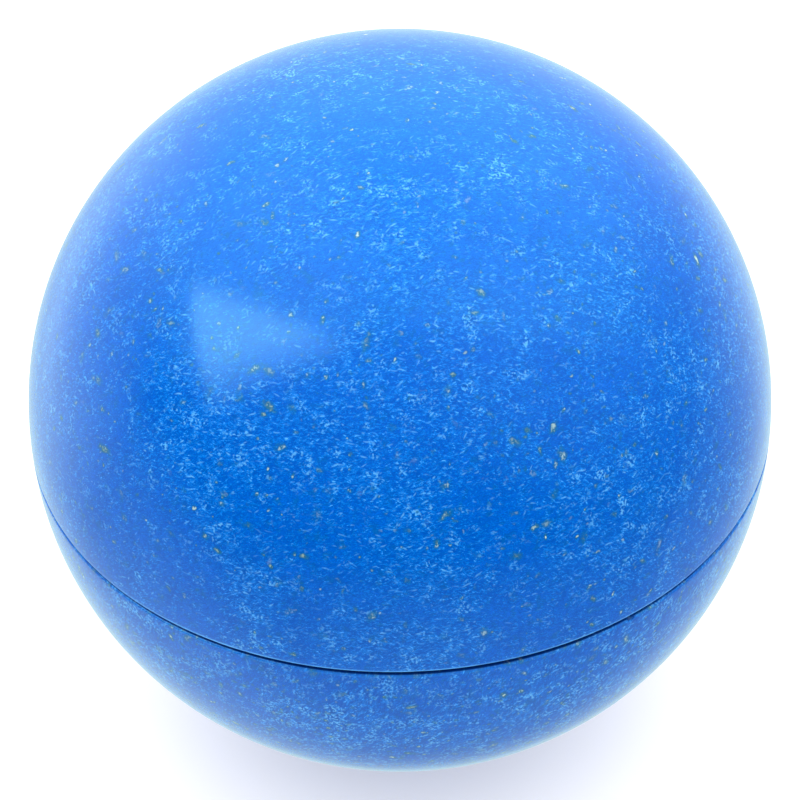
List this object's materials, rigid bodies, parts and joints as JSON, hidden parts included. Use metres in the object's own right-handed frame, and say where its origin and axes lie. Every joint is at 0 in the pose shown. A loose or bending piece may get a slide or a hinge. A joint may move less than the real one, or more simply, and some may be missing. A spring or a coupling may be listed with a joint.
{
  "type": "croquet ball",
  "caption": "Full-size croquet ball of moulded half shells in blue fibre-flecked plastic, bonded on a tongue-and-groove joint over a solid cork-and-rubber core.",
  "frame": {"origin": "centre of the ball, on the joint plane of the two half shells", "axes": "+Z normal to the joint plane, towards the upper shell; +X midway between two of the ribs that key each shell to the core"},
  "size_m": [0.092, 0.092, 0.092],
  "materials": {
    "flecked_plastic": "gloss, dense pale short fibres and a few tan chips in a blue base",
    "cork_rubber": "pressed cork granules in dark rubber",
    "adhesive": "cured two-part adhesive, slightly amber"
  },
  "bodies": {
    "root": {"upper_shell": "flecked_plastic", "lower_shell": "flecked_plastic", "core": "cork_rubber", "joint_adhesive": "adhesive"}
  },
  "joints": []
}
